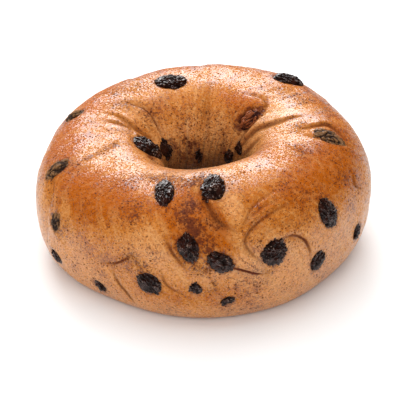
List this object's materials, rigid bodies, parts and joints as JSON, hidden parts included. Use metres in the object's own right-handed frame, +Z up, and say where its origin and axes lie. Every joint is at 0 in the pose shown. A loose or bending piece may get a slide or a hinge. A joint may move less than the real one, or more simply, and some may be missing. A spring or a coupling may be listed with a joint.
{
  "type": "raisin bagel",
  "caption": "Hand-rolled ring of glossy baked bread with an open hole, a flat underside, cinnamon specks, and raisins sunk into its crust.",
  "frame": {"origin": "on the flat underside, under the middle of the bounding box", "axes": "+X across the bagel's widest way, +Y from the low front towards the back, +Z up"},
  "size_m": [0.1134, 0.1092, 0.0469],
  "materials": {
    "crust": "glossy orange-brown baked crust on top, paler tan at the sides and in the hole, with cinnamon specks",
    "raisin": "wrinkled near-black raisin skin with a sticky gloss",
    "raisin_under_skin": "olive-brown raisin showing through a thin skin of baked dough"
  },
  "bodies": {
    "root": {"bread": "crust", "raisin_back_top": "raisin", "raisin_back_right": "raisin", "raisin_hole_edge": "raisin", "raisin_hole_wall": "raisin", "raisin_top_left": "raisin", "raisin_top_middle": "raisin", "raisin_shoulder_right": "raisin", "raisin_front_right": "raisin", "raisin_side_right": "raisin", "raisin_front_middle": "raisin", "raisin_front_upper": "raisin", "raisin_front_left": "raisin", "raisin_rear_shoulder": "raisin", "raisin_rear_left": "raisin", "raisin_rear_middle": "raisin", "raisin_rear_right": "raisin", "raisin_rear_low": "raisin", "raisin_end_right": "raisin", "raisin_knob": "raisin_under_skin", "raisin_top_right": "raisin_under_skin", "raisin_shoulder_left": "raisin_under_skin", "raisin_outline_left": "raisin_under_skin", "raisin_side_left": "raisin_under_skin", "raisin_side_far_left": "raisin_under_skin", "raisin_rear_high": "raisin_under_skin", "raisin_rear_side": "raisin_under_skin", "raisin_tip_low_middle": "raisin", "raisin_tip_low_front": "raisin", "raisin_tip_side_right": "raisin", "raisin_tip_low_left": "raisin", "raisin_tip_side_left": "raisin", "raisin_tip_hole_right": "raisin", "raisin_tip_hole_lip": "raisin", "raisin_tip_hole_back": "raisin", "raisin_tip_rear": "raisin"}
  },
  "joints": []
}
